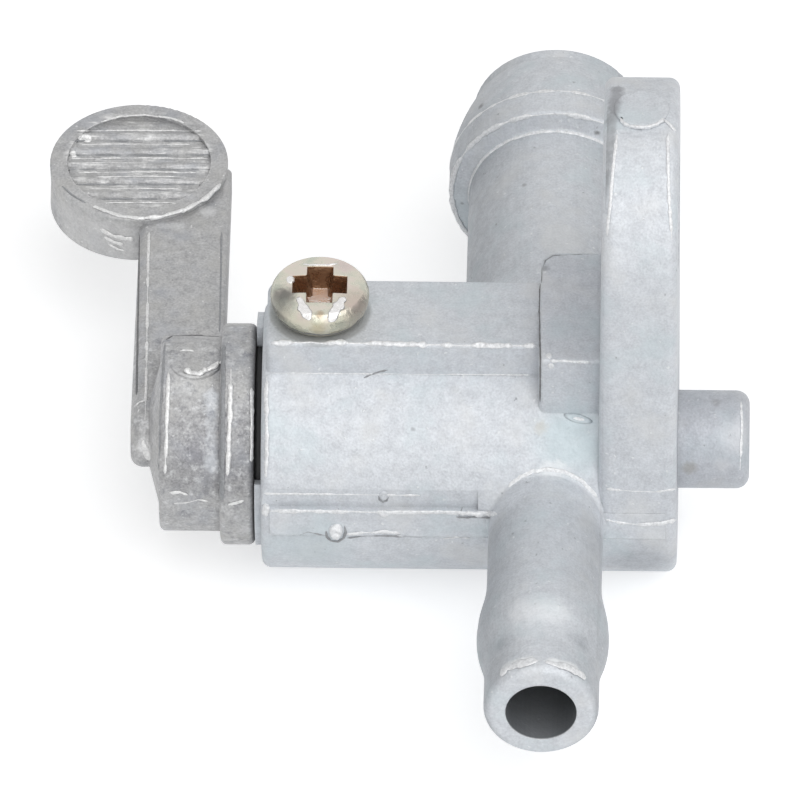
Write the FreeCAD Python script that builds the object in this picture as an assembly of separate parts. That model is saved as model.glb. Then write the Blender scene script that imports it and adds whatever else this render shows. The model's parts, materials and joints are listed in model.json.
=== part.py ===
import FreeCAD, Part
import math
import os

from FreeCAD import Vector

# Die-cast fuel tap with a quarter-turn thumb lever, in millimetres.
# The origin is on the mounting face, on the axis shared by the barrel, spindle and locating pin.
# +X leaves the mounting face towards the engine, +Y is the inlet side, +Z is up.
# Lengths called "reach" are measured from the mounting face towards -X.

X_AXIS = Vector(1, 0, 0)
Y_AXIS = Vector(0, 1, 0)
Z_AXIS = Vector(0, 0, 1)

# Running and assembly clearances
running_gap = 0.05
seal_gap = 0.02
assembly_gap = 0.01
end_gap = 0.12

# Mounting plate
plate_radius = 7.45
plate_thickness = 4.38
plate_draft_deg = 0.5
plate_edge_round = 0.6
bolt_pitch = 16.75
bolt_hole_radius = 3.2
ejector_radius = 1.52
ejector_proud = 0.1
ejector_edge_round = 0.08

# Locating pin on the mounting face
pin_radius = 2.75
pin_length = 4.0
pin_end_round = 0.75

# Barrel
barrel_radius = 7.45
barrel_reach = 23.2
barrel_end_round = 0.5
parting_half_height = 0.95
parting_proud = 0.04
parting_flat_depth = 0.33
parting_flat_height = 2.6
root_round = 0.3

# Raised rib that carries the screw, and the block beside the plate
rib_half_width = 2.77
rib_height = 1.68
rib_setback = 0.25
rib_back_corner = 1.0
rib_front_corner = 0.4
rib_edge_round = 0.2
block_half_width = 4.65
block_height = 2.28
block_reach = 7.73
block_back_corner = 0.95
block_front_corner = 0.4
block_edge_round = 0.25

# Thrust lugs on the barrel's end, with a quarter open at the front
thrust_wall = 0.6
thrust_height = 0.38
thrust_open_from_deg = -12.0
thrust_open_to_deg = 76.0
high_lug_rise = 0.65
high_lug_from_deg = -38.0

# Spindle bore and the seats in it
bore_radius = 5.0
bore_floor_reach = 3.2
dust_seat_step = 0.6
dust_seat_depth = 0.6

# Tubes
tube_reach = 7.27
inlet_neck_radius = 4.84
inlet_shoulder_at = 20.83
inlet_shoulder_slope = 0.26
inlet_bead_rise = 1.13
inlet_bead_length = 2.0
inlet_taper_length = 4.3
inlet_taper_bulge = 0.2
inlet_land_radius = 4.72
inlet_land_length = 0.75
inlet_edge_round = 0.18
inlet_tip_round = 0.2
inlet_bore_radius = 3.1
inlet_bore_floor = 9.0
outlet_neck_radius = 3.2
outlet_rise_length = 4.6
outlet_bead_rise = 0.48
outlet_bead_at = 17.3
outlet_fall_length = 3.3
outlet_land_length = 2.6
outlet_tip_round = 0.5
port_radius = 1.98

# Spindle
nose_radius = 3.6
seal_wall = 2.62
nose_chamfer = 0.4
ring_groove_width = 2.4
ring_section = 1.45
ring_width = 2.1
ring_corner = 0.55
collar_width = 1.92
collar_edge_round = 0.35
hub_step = 0.74
hub_width = 3.41
hub_edge_round = 0.35
hub_cone_step = 1.26
hub_cone_width = 0.62
hub_pad_inset = 1.42
hub_pad_proud = 0.03

# Lever arm and thumb pad
arm_overhang = 1.68
arm_half_at_hub = 1.9
arm_half_at_pad = 1.1
arm_edge_round = 0.65
arm_inner_round = 0.42
thumb_reach_y = 21.58
thumb_radius = 5.05
thumb_inset = 0.2
thumb_half_thickness = 1.54
thumb_edge_round = 0.12
thumb_draft_deg = 2.0
thumb_rim = 0.98
thumb_recess_depth = 0.25
ridge_radius = 0.3
ridge_sunk = 0.12
ridge_pitch = 1.27
ridge_count = 5
ridge_shift = -0.07

# Retaining screw
screw_setback = 3.2
screw_radius = 1.5
dog_radius = 1.15
dog_gap = 0.1
dog_depth = 1.0
head_base_radius = 2.15
head_radius = 2.75
head_widest_at = 1.1
head_shoulder_radius = 2.5
head_shoulder_at = 1.87
head_height = 2.05
head_bulge = 0.12
recess_span = 3.1
recess_width = 1.5
recess_depth = 1.4
recess_floor_span = 2.4
recess_floor_width = 0.86
recess_core_radius = 1.1
recess_core_floor = 0.7

# Dust ring and port seal
dust_ring_gap = 0.03
dust_ring_corner = 0.15

# Planes and radii that several pieces share
barrel_end = -barrel_reach
rib_reach = barrel_reach - rib_setback
rib_top = barrel_radius + rib_height
block_top = barrel_radius + block_height
thrust_plane = barrel_end - thrust_height
dust_seat_radius = bore_radius + dust_seat_step
thrust_radius = dust_seat_radius + thrust_wall
high_lug_radius = thrust_radius + high_lug_rise
collar_radius = thrust_radius
collar_face = thrust_plane - running_gap
hub_radius = collar_radius - hub_step
hub_cone_base = hub_radius - hub_cone_step
hub_face = collar_face - collar_width
hub_end = hub_face - hub_width
tube_x = -tube_reach
screw_x = barrel_end + screw_setback
bore_floor = -bore_floor_reach
journal_radius = bore_radius - running_gap
crest = bolt_pitch + plate_radius
inlet_bead_radius = inlet_neck_radius + inlet_bead_rise
outlet_bead_radius = outlet_neck_radius + outlet_bead_rise
inlet_bead_at = inlet_shoulder_at + inlet_shoulder_slope
inlet_taper_at = inlet_bead_at + inlet_bead_length
inlet_land_at = inlet_taper_at + inlet_taper_length
inlet_tip_at = inlet_land_at + inlet_land_length
outlet_rise_at = outlet_bead_at - outlet_rise_length
outlet_land_at = outlet_bead_at + outlet_fall_length
outlet_tip_at = outlet_land_at + outlet_land_length
nose_tip = bore_floor - end_gap
journal_end = tube_x - port_radius - seal_wall
screw_groove_half = dog_radius + dog_gap
ring_groove_x = (screw_x + screw_groove_half + journal_end) / 2

# How far a cut runs past the piece that it cuts
past = 1.0


def cylinder(radius, start, direction, length):
    return Part.makeCylinder(radius, length, start, direction)


def along_x(radius, low, high):
    return cylinder(radius, Vector(low, 0, 0), X_AXIS, high - low)


def block_between(low, high):
    size = high - low
    return Part.makeBox(size.x, size.y, size.z, low)


def arc(start, middle, end):
    return Part.Arc(start, middle, end).toShape()


def line(start, end):
    return Part.makeLine(start, end)


def turned(edges, point, axis):
    face = Part.Face(Part.Wire(edges))
    return face.revolve(point, axis, 360)


def turned_x(points):
    # A solid of revolution about the barrel axis from (x, radius) points.
    places = [Vector(x, 0, radius) for x, radius in points]
    face = Part.Face(Part.makePolygon(places + places[:1]))
    return face.revolve(Vector(0, 0, 0), X_AXIS, 360)


def ring_x(inner, outer, low, high):
    return along_x(outer, low, high).cut(along_x(inner, low - past, high + past))


def sector_x(outer, low, high, from_deg, to_deg):
    # A wedge about the barrel axis; angles run from +Z towards the outlet side.
    wedge = Part.makeCylinder(outer, high - low, Vector(low, 0, 0), X_AXIS, to_deg - from_deg)
    # The cylinder's own seam starts on an unstated side, so it is turned by where its middle lies.
    middle = wedge.CenterOfMass
    found = math.degrees(math.atan2(-middle.y, middle.z))
    wedge.rotate(Vector(0, 0, 0), X_AXIS, (from_deg + to_deg) / 2 - found)
    return wedge


def edges_where(shape, test):
    return [edge for edge in shape.Edges if test(edge)]


def near(value, target):
    return abs(value - target) < 1e-4


def rims(shape, radius, centre):
    # The circular edges of one radius about one point.
    def matches(edge):
        curve = edge.Curve
        return isinstance(curve, Part.Circle) and near(curve.Radius, radius) and near(
            (curve.Center - centre).Length, 0
        )

    return edges_where(shape, matches)


def ejector_disc(centre, top):
    # The round mark that an ejector leaves: a thin raised disc with a softened rim.
    disc = cylinder(ejector_radius, centre, Z_AXIS, top - centre.z)
    rim = rims(disc, ejector_radius, Vector(centre.x, centre.y, top))
    return disc.makeFillet(ejector_edge_round, rim)


# Mounting plate: an upright stadium, a little thinner towards its top
def mounting_plate():
    r = plate_radius
    bottom_left = Vector(0, -r, 0)
    top_left = Vector(0, -r, bolt_pitch)
    top_right = Vector(0, r, bolt_pitch)
    bottom_right = Vector(0, r, 0)
    outline = Part.Wire([
        line(bottom_left, top_left),
        arc(top_left, Vector(0, 0, crest), top_right),
        line(top_right, bottom_right),
        arc(bottom_right, Vector(0, 0, -r), bottom_left),
    ])
    slope = math.tan(math.radians(plate_draft_deg))
    low = -r - past
    high = crest + past
    side = Part.makePolygon([
        Vector(0, -r - past, low),
        Vector(0, -r - past, high),
        Vector(high * slope - plate_thickness, -r - past, high),
        Vector(low * slope - plate_thickness, -r - past, low),
        Vector(0, -r - past, low),
    ])
    blank = Part.Face(outline).extrude(Vector(-plate_thickness - past, 0, 0))
    wedge = Part.Face(side).extrude(Vector(0, 2 * (r + past), 0))
    plate = blank.common(wedge)

    def runs_round(edge):
        box = edge.BoundBox
        return max(box.YLength, box.ZLength) > r

    plate = plate.makeFillet(plate_edge_round, edges_where(plate, runs_round))
    top_thickness = plate_thickness - crest * slope
    disc_at = Vector(-top_thickness / 2, 0, crest - plate_radius / 2)
    return plate.fuse(ejector_disc(disc_at, crest + ejector_proud))


def locating_pin():
    pin = along_x(pin_radius, -plate_edge_round, pin_length)
    return pin.makeFillet(pin_end_round, rims(pin, pin_radius, Vector(pin_length, 0, 0)))


def barrel_with_outlet():
    # The outlet's root is rounded first, then the front is flattened above the parting band.
    inner = -plate_edge_round
    drum = along_x(barrel_radius, barrel_end, inner)
    drum = drum.makeFillet(barrel_end_round, rims(drum, barrel_radius, Vector(barrel_end, 0, 0)))
    both = drum.fuse(outlet_tube())

    def at_root(edge):
        place = edge.valueAt((edge.FirstParameter + edge.LastParameter) / 2)
        on_tube = near(math.hypot(place.x - tube_x, place.z), outlet_neck_radius)
        return on_tube and near(math.hypot(place.y, place.z), barrel_radius)

    both = both.makeFillet(root_round, edges_where(both, at_root))
    flat_end = tube_x - outlet_neck_radius - 2 * root_round
    low = Vector(barrel_end - past, -barrel_radius - past, parting_half_height)
    high = Vector(flat_end, parting_flat_depth - barrel_radius, parting_flat_height)
    both = both.cut(block_between(low, high))
    land_y = barrel_radius + parting_proud
    low = Vector(barrel_end + barrel_end_round, -land_y, -parting_half_height)
    high = Vector(inner, land_y, parting_half_height)
    return both.fuse(block_between(low, high))


def raised_block(reach, half_width, top, back_corner, front_corner, edge_round):
    inner = -plate_edge_round
    low = Vector(-reach, -half_width, 0)
    high = Vector(inner, half_width, top)
    block = block_between(low, high)

    def upright(edge, y):
        box = edge.BoundBox
        return near(box.ZLength, top) and near(box.XMax, -reach) and near(box.YMax, y)

    def on_top(edge):
        box = edge.BoundBox
        return near(box.ZMin, top) and not near(box.XMin, inner)

    block = block.makeFillet(back_corner, edges_where(block, lambda edge: upright(edge, half_width)))
    block = block.makeFillet(front_corner, edges_where(block, lambda edge: upright(edge, -half_width)))
    return block.makeFillet(edge_round, edges_where(block, on_top))


def thrust_lugs():
    # The collar runs on these; the front quarter is open and shows the dust ring.
    low = thrust_plane
    high = barrel_end + dust_seat_depth / 2
    ring = along_x(thrust_radius, low, high)
    gap = sector_x(thrust_radius + past, low - past, barrel_end, thrust_open_from_deg, thrust_open_to_deg)
    high_lug = sector_x(high_lug_radius, low, high, high_lug_from_deg, thrust_open_from_deg)
    return ring.cut(gap).fuse(high_lug)


def at_tube(radius, along):
    return Vector(tube_x + radius, along, 0)


def tube_tip(radius, along, edge_round, sign):
    # The rounded end of a tube: its arc and its flat end.
    edge = radius - edge_round
    inset = edge_round * (1 - math.sqrt(0.5))
    return [
        arc(
            at_tube(radius, along - sign * edge_round), at_tube(radius - inset, along - sign * inset),
            at_tube(edge, along),
        ),
        line(at_tube(edge, along), at_tube(0, along)),
        line(at_tube(0, along), at_tube(0, 0)),
    ]


def ogee(start, end):
    # Two equal arcs that leave and meet the tube's wall without a kink; the first bulges outward.
    half_length = abs(end.y - start.y) / 2
    half_drop = abs(end.x - start.x) / 2
    radius = (half_length ** 2 + half_drop ** 2) / (2 * half_drop)
    lift = radius - math.sqrt(radius ** 2 - half_length ** 2 / 4)
    middle = (start + end) / 2
    outer, inner = (start, end) if start.x > end.x else (end, start)
    high = Vector(outer.x - lift, (outer.y + middle.y) / 2, 0)
    low = Vector(inner.x + lift, (inner.y + middle.y) / 2, 0)
    first, second = (high, low) if outer == start else (low, high)
    return [arc(start, first, middle), arc(middle, second, end)]


def inlet_tube():
    land = at_tube(inlet_land_radius, inlet_land_at)
    taper_middle = Vector(
        tube_x + (inlet_bead_radius + inlet_land_radius) / 2 + inlet_taper_bulge,
        (inlet_taper_at + inlet_land_at) / 2, 0,
    )
    edges = [
        line(at_tube(0, 0), at_tube(inlet_neck_radius, 0)),
        line(at_tube(inlet_neck_radius, 0), at_tube(inlet_neck_radius, inlet_shoulder_at)),
        line(at_tube(inlet_neck_radius, inlet_shoulder_at), at_tube(inlet_bead_radius, inlet_bead_at)),
        line(at_tube(inlet_bead_radius, inlet_bead_at), at_tube(inlet_bead_radius, inlet_taper_at)),
        arc(at_tube(inlet_bead_radius, inlet_taper_at), taper_middle, land),
        line(land, at_tube(inlet_land_radius, inlet_tip_at - inlet_tip_round)),
    ]
    edges += tube_tip(inlet_land_radius, inlet_tip_at, inlet_tip_round, 1)
    tube = turned(edges, at_tube(0, 0), Y_AXIS)
    corners = rims(tube, inlet_neck_radius, at_tube(0, inlet_shoulder_at))
    corners += rims(tube, inlet_bead_radius, at_tube(0, inlet_bead_at))
    return tube.makeFillet(inlet_edge_round, corners)


def outlet_tube():
    neck = at_tube(outlet_neck_radius, 0)
    rise = at_tube(outlet_neck_radius, -outlet_rise_at)
    bead = at_tube(outlet_bead_radius, -outlet_bead_at)
    land = at_tube(outlet_neck_radius, -outlet_land_at)
    tip = at_tube(outlet_neck_radius, outlet_tip_round - outlet_tip_at)
    edges = [line(at_tube(0, 0), neck), line(neck, rise)]
    edges += ogee(rise, bead)
    edges += ogee(bead, land)
    edges.append(line(land, tip))
    edges += tube_tip(outlet_neck_radius, -outlet_tip_at, outlet_tip_round, -1)
    return turned(edges, at_tube(0, 0), Y_AXIS)


def flow_passages():
    cone_end = inlet_bore_floor + inlet_bore_radius - port_radius
    start = -outlet_tip_at - past
    narrow = cylinder(port_radius, at_tube(0, start), Y_AXIS, inlet_bore_floor - start)
    cone = Part.makeCone(
        port_radius, inlet_bore_radius, cone_end - inlet_bore_floor, at_tube(0, inlet_bore_floor), Y_AXIS
    )
    wide = cylinder(inlet_bore_radius, at_tube(0, cone_end), Y_AXIS, inlet_tip_at + past - cone_end)
    return [narrow, cone, wide]


def make_tap_body():
    solid = barrel_with_outlet().fuse([
        mounting_plate(),
        locating_pin(),
        raised_block(rib_reach, rib_half_width, rib_top, rib_back_corner, rib_front_corner, rib_edge_round),
        raised_block(
            block_reach, block_half_width, block_top, block_back_corner, block_front_corner, block_edge_round
        ),
        inlet_tube(),
        thrust_lugs(),
    ])
    cuts = flow_passages()
    cuts.append(along_x(bore_radius, thrust_plane - past, bore_floor))
    cuts.append(along_x(dust_seat_radius, thrust_plane - past, barrel_end + dust_seat_depth))
    cuts.append(cylinder(screw_radius, Vector(screw_x, 0, 0), Z_AXIS, rib_top + past))
    bolt_at = Vector(-plate_thickness - past, 0, bolt_pitch)
    cuts.append(cylinder(bolt_hole_radius, bolt_at, X_AXIS, plate_thickness + 2 * past))
    return solid.cut(cuts).removeSplitter()


# Lever and spindle, one casting
def spindle():
    groove_floor = journal_radius + running_gap - seal_gap - ring_section
    groove_low = ring_groove_x - ring_groove_width / 2
    groove_high = ring_groove_x + ring_groove_width / 2
    cone_tip = hub_end - hub_cone_width
    shaft = turned_x([
        (nose_tip, 0),
        (nose_tip, nose_radius - nose_chamfer),
        (nose_tip - nose_chamfer, nose_radius),
        (journal_end, nose_radius),
        (journal_end, journal_radius - nose_chamfer),
        (journal_end - nose_chamfer, journal_radius),
        (groove_high, journal_radius),
        (groove_high, groove_floor),
        (groove_low, groove_floor),
        (groove_low, journal_radius),
        (collar_face, journal_radius),
        (collar_face, collar_radius),
        (hub_face, collar_radius),
        (hub_face, hub_radius),
        (hub_end, hub_radius),
        (hub_end, hub_cone_base),
        (cone_tip, arm_half_at_hub),
        (cone_tip, 0),
    ])
    collar_rims = rims(shaft, collar_radius, Vector(collar_face, 0, 0))
    collar_rims += rims(shaft, collar_radius, Vector(hub_face, 0, 0))
    shaft = shaft.makeFillet(collar_edge_round, collar_rims)
    return shaft.makeFillet(hub_edge_round, rims(shaft, hub_radius, Vector(hub_end, 0, 0)))


def screw_groove():
    # A quarter-turn groove for the screw's tip, from straight up at rest to the inlet side.
    half = screw_groove_half
    floor = bore_radius - dog_depth - dog_gap
    ring = ring_x(floor, bore_radius, screw_x - half, screw_x + half)
    track = ring.common(sector_x(bore_radius + past, screw_x - half, screw_x + half, -90, 0))
    up = cylinder(half, Vector(screw_x, 0, floor), Z_AXIS, bore_radius - floor)
    back = cylinder(half, Vector(screw_x, floor, 0), Y_AXIS, bore_radius - floor)
    return [track, up, back]


def lever_arm():
    left = hub_end - arm_overhang
    a = arm_half_at_hub
    b = arm_half_at_pad
    far = thumb_reach_y
    outline = Part.Wire([
        line(Vector(left, 0, a), Vector(left, far, b)),
        line(Vector(left, far, b), Vector(left, far, -b)),
        line(Vector(left, far, -b), Vector(left, 0, -a)),
        arc(Vector(left, 0, -a), Vector(left, -a, 0), Vector(left, 0, a)),
    ])
    bar = Part.Face(outline).extrude(Vector(hub_face - left, 0, 0))

    def runs_along(edge, x):
        box = edge.BoundBox
        return near(box.XMin, x) and near(box.XMax, x) and not near(box.YMin, far)

    bar = bar.makeFillet(arm_edge_round, edges_where(bar, lambda edge: runs_along(edge, left)))
    return bar.makeFillet(arm_inner_round, edges_where(bar, lambda edge: runs_along(edge, hub_face)))


def thumb_pad():
    h = thumb_half_thickness
    centre = Vector(hub_face - thumb_inset - thumb_radius, thumb_reach_y, 0)
    waist = thumb_radius - h * math.tan(math.radians(thumb_draft_deg))
    upper = Part.makeCone(waist, thumb_radius, h, centre, Z_AXIS)
    lower = Part.makeCone(thumb_radius, waist, h, centre - Z_AXIS * h, Z_AXIS)
    disc = upper.fuse(lower)
    outer_rims = rims(disc, thumb_radius, centre + Z_AXIS * h)
    outer_rims += rims(disc, thumb_radius, centre - Z_AXIS * h)
    disc = disc.makeFillet(thumb_edge_round, outer_rims)
    recess_radius = thumb_radius - thumb_rim
    floor = h - thumb_recess_depth
    disc = disc.cut(cylinder(recess_radius, centre + Z_AXIS * floor, Z_AXIS, h))
    inside = cylinder(recess_radius, centre + Z_AXIS * (floor - ridge_radius), Z_AXIS, h)
    ridges = []
    for number in range(ridge_count):
        across = ridge_shift + (number - (ridge_count - 1) / 2) * ridge_pitch
        start = centre + Vector(-thumb_radius, across, floor - ridge_sunk)
        ridges.append(cylinder(ridge_radius, start, X_AXIS, 2 * thumb_radius).common(inside))
    return disc.fuse(ridges)


def make_lever_spindle():
    disc_at = Vector(hub_face - hub_pad_inset, 0, hub_cone_base)
    hub_disc = ejector_disc(disc_at, hub_radius + hub_pad_proud)
    solid = spindle().fuse([lever_arm(), thumb_pad(), hub_disc])
    port = cylinder(port_radius, at_tube(0, -bore_radius), Y_AXIS, 2 * bore_radius)
    return solid.cut(screw_groove() + [port]).removeSplitter()


def make_retaining_screw():
    # A rounded pan head with a cross recess, on a plain shank with a reduced tip.
    base = rib_top
    thread_end = bore_radius + dog_gap
    dog_end = bore_radius - dog_depth
    shank = screw_radius - assembly_gap
    lead = shank - dog_radius

    def at(r, z):
        return Vector(r, 0, z)

    def bulged(start, end):
        # An arc that stands out from the straight line between its ends.
        chord = end - start
        outward = Vector(chord.z, 0, -chord.x).normalize()
        return arc(start, (start + end) / 2 + outward * chord.Length * head_bulge, end)

    corner = at(head_base_radius, base)
    widest = at(head_radius, base + head_widest_at)
    shoulder = at(head_shoulder_radius, base + head_shoulder_at)
    top = at(0, base + head_height)
    crown = at(head_shoulder_radius / 2, base + head_height - (head_height - head_shoulder_at) / 4)
    edges = [
        line(at(0, dog_end), at(dog_radius, dog_end)),
        line(at(dog_radius, dog_end), at(dog_radius, thread_end)),
        line(at(dog_radius, thread_end), at(shank, thread_end + lead)),
        line(at(shank, thread_end + lead), at(shank, base)),
        line(at(shank, base), corner),
        bulged(corner, widest),
        bulged(widest, shoulder),
        arc(shoulder, crown, top),
        line(top, at(0, dog_end)),
    ]
    solid = turned(edges, Vector(0, 0, 0), Z_AXIS)
    floor = Vector(0, 0, base + head_height - recess_depth)
    core = Part.makeCone(recess_core_floor, recess_core_radius, recess_depth, floor, Z_AXIS)
    solid = solid.cut(core)
    for turn in (0, 90):
        wing = recess_wing(base + head_height)
        wing.rotate(Vector(0, 0, 0), Z_AXIS, turn)
        solid = solid.cut(wing)
    solid.translate(Vector(screw_x, 0, 0))
    return solid


def recess_wing(top):
    # One bar of the cross recess, narrowing to its floor.
    def rectangle(span, width, z):
        s = span / 2
        w = width / 2
        return Part.makePolygon([
            Vector(-s, -w, z), Vector(s, -w, z), Vector(s, w, z), Vector(-s, w, z), Vector(-s, -w, z)
        ])

    rim = rectangle(recess_span, recess_width, top)
    floor = rectangle(recess_floor_span, recess_floor_width, top - recess_depth)
    return Part.makeLoft([floor, rim], True, True)


def rounded_ring(inner, outer, low, high, corner):
    ring = ring_x(inner, outer, low, high)
    return ring.makeFillet(corner, edges_where(ring, lambda edge: near(edge.BoundBox.XLength, 0)))


def make_dust_ring():
    # Seated in the barrel's mouth, its front face just under the collar.
    inner = journal_radius + seal_gap
    outer = dust_seat_radius - assembly_gap
    high = barrel_end + dust_seat_depth - assembly_gap
    return rounded_ring(inner, outer, collar_face + dust_ring_gap, high, dust_ring_corner)


def make_spindle_o_ring():
    outer = bore_radius - seal_gap
    inner = outer - ring_section
    half = ring_width / 2
    return rounded_ring(inner, outer, ring_groove_x - half, ring_groove_x + half, ring_corner)


def make_port_seal():
    sleeve = ring_x(nose_radius + seal_gap, bore_radius - assembly_gap, journal_end + end_gap, bore_floor)
    return sleeve.cut(cylinder(port_radius, at_tube(0, -bore_radius), Y_AXIS, 2 * bore_radius))


pieces = {
    "tap_body": make_tap_body,
    "lever_spindle": make_lever_spindle,
    "retaining_screw": make_retaining_screw,
    "dust_ring": make_dust_ring,
    "spindle_o_ring": make_spindle_o_ring,
    "port_seal": make_port_seal,
}

os.makedirs("parts", exist_ok=True)
for name, make in pieces.items():
    shape = make()
    shape.exportStep("parts/" + name + ".step")
    box = shape.BoundBox
    print(
        name, "solids", len(shape.Solids), "valid", shape.isValid(), "volume", round(shape.Volume, 2),
        "box", [round(v, 2) for v in (box.XMin, box.XMax, box.YMin, box.YMax, box.ZMin, box.ZMax)],
    )
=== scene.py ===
import json
import math

import bpy
from mathutils import Matrix, Vector, noise
from mathutils.bvhtree import BVHTree


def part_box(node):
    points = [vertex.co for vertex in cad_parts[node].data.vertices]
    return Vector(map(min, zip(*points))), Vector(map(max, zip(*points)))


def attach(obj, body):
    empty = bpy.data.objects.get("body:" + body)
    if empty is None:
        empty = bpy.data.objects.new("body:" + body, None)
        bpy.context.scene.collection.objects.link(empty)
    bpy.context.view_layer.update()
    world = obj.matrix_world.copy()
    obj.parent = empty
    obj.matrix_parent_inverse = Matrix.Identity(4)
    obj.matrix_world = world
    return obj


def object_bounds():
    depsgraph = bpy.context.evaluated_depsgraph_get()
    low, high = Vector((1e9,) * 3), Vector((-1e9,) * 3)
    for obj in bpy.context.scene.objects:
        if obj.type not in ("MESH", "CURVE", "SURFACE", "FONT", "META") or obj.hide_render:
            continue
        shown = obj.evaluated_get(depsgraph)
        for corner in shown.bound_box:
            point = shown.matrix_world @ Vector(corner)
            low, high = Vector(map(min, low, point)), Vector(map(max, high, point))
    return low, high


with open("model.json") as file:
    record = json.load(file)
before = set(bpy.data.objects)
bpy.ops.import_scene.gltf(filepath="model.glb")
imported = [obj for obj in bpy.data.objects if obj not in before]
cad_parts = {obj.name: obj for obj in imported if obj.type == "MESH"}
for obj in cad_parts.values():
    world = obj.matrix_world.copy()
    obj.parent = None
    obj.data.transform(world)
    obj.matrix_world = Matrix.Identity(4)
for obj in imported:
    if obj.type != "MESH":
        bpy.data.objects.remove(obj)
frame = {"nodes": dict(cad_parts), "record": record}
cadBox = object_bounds()
nodes = frame["nodes"]
mm = 0.001
print("frame loaded with", ", ".join(sorted(nodes)))


# Camera, set where the photograph was taken from
photoView = {
    "azimuthDeg": 1.43,
    "elevationDeg": 41.0,
    "rollDeg": 0.305,
    "distance": 1.5,
    "mmPerPixel": 0.056,
    "imagePixels": 800,
    "originPixel": (678.0, 438.7),  # where the tap's origin on the mounting face shows
    "sensorMm": 36.0,
    "clip": (0.01, 20),
}


def viewAxes():
    a = math.radians(photoView["azimuthDeg"])
    e = math.radians(photoView["elevationDeg"])
    roll = math.radians(photoView["rollDeg"])
    level = Vector((math.cos(a), math.sin(a), 0))
    upright = Vector((-math.sin(e) * math.sin(a), math.sin(e) * math.cos(a), math.cos(e)))
    back = Vector((math.sin(a) * math.cos(e), -math.cos(a) * math.cos(e), math.sin(e)))
    right = level * math.cos(roll) - upright * math.sin(roll)
    up = upright * math.cos(roll) + level * math.sin(roll)
    return right, up, back


def pixelPlace(px, row):
    # The point behind a pixel, on the plane through the origin that faces the camera.
    right, up, back = viewAxes()
    step = photoView["mmPerPixel"] * mm
    across = (px - photoView["originPixel"][0]) * step
    height = (photoView["originPixel"][1] - row) * step
    return right * across + up * height


def addObject(name, data, location=(0, 0, 0), turn=None):
    thing = bpy.data.objects.new(name, data)
    thing.location = location
    if turn is not None:
        thing.rotation_mode = "QUATERNION"
        thing.rotation_quaternion = turn
    bpy.context.collection.objects.link(thing)
    return thing


def makeCamera():
    middle = photoView["imagePixels"] / 2
    target = pixelPlace(middle, middle)
    right, up, back = viewAxes()
    width = photoView["imagePixels"] * photoView["mmPerPixel"] * mm
    lens = bpy.data.cameras.new("photoCamera")
    lens.sensor_width = photoView["sensorMm"]
    lens.lens = photoView["sensorMm"] * photoView["distance"] / width
    lens.clip_start, lens.clip_end = photoView["clip"]
    turn = Matrix((right, up, back)).transposed().to_quaternion()
    camera = addObject("photoCamera", lens, target + back * photoView["distance"], turn)
    bpy.context.scene.camera = camera
    return camera


camera = makeCamera()
print("camera set")


# Studio: a white room, a large soft lamp up front and to the right, and a small low fill
studio = {
    "roomLight": 0.38,
    "keyFrom": (0.3, -0.5, 0.8),
    "keySize": 1.3,
    "keyPower": 5.6,
    "fillFrom": (0.1, -1.0, 0.12),
    "fillSize": 0.5,
    "fillPower": 0.7,
    "lampDistance": 0.9,
    "floorColour": (0.86, 0.865, 0.87, 1),
    "floorGlow": 0.5,
    "floorDrop": 0.2,  # mm under the lowest point of the tap
    "floorHalf": 6.0,
}


def link(tree, source, target):
    tree.links.new(source, target)


def addNode(tree, kind, **inputs):
    node = tree.nodes.new(kind)
    for name, value in inputs.items():
        node.inputs[name.replace("_", " ")].default_value = value
    return node


def calc(tree, operation, first, second=0.0):
    node = tree.nodes.new("ShaderNodeMath")
    node.operation = operation
    for socket, value in zip(node.inputs, (first, second)):
        if isinstance(value, (int, float)):
            socket.default_value = value
        else:
            link(tree, value, socket)
    return node.outputs[0]


def seenBright(tree):
    # 1 for the camera, for gloss and for glass, which all see the white room.
    path = tree.nodes.new("ShaderNodeLightPath")
    seen = calc(tree, "MAXIMUM", path.outputs["Is Camera Ray"], path.outputs["Is Glossy Ray"])
    return calc(tree, "MAXIMUM", seen, path.outputs["Is Transmission Ray"])


def emptyTree(owner):
    owner.use_nodes = True
    owner.node_tree.nodes.clear()
    return owner.node_tree


def makeRoom():
    world = bpy.data.worlds.new("whiteRoom")
    bpy.context.scene.world = world
    tree = emptyTree(world)
    strength = addNode(tree, "ShaderNodeMapRange", To_Min=studio["roomLight"], To_Max=1.0)
    link(tree, seenBright(tree), strength.inputs["Value"])
    light = addNode(tree, "ShaderNodeBackground", Color=(1, 1, 1, 1))
    link(tree, strength.outputs["Result"], light.inputs["Strength"])
    out = tree.nodes.new("ShaderNodeOutputWorld")
    link(tree, light.outputs[0], out.inputs["Surface"])


def makeLamp(name, direction, size, power):
    lamp = bpy.data.lights.new(name, "AREA")
    lamp.shape = "DISK"
    lamp.size = size
    lamp.energy = power
    towards = Vector(direction).normalized()
    low, high = cadBox
    location = (low + high) / 2 + towards * studio["lampDistance"]
    holder = addObject(name, lamp, location, (-towards).to_track_quat("-Z", "Y"))
    holder.visible_camera = False


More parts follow.
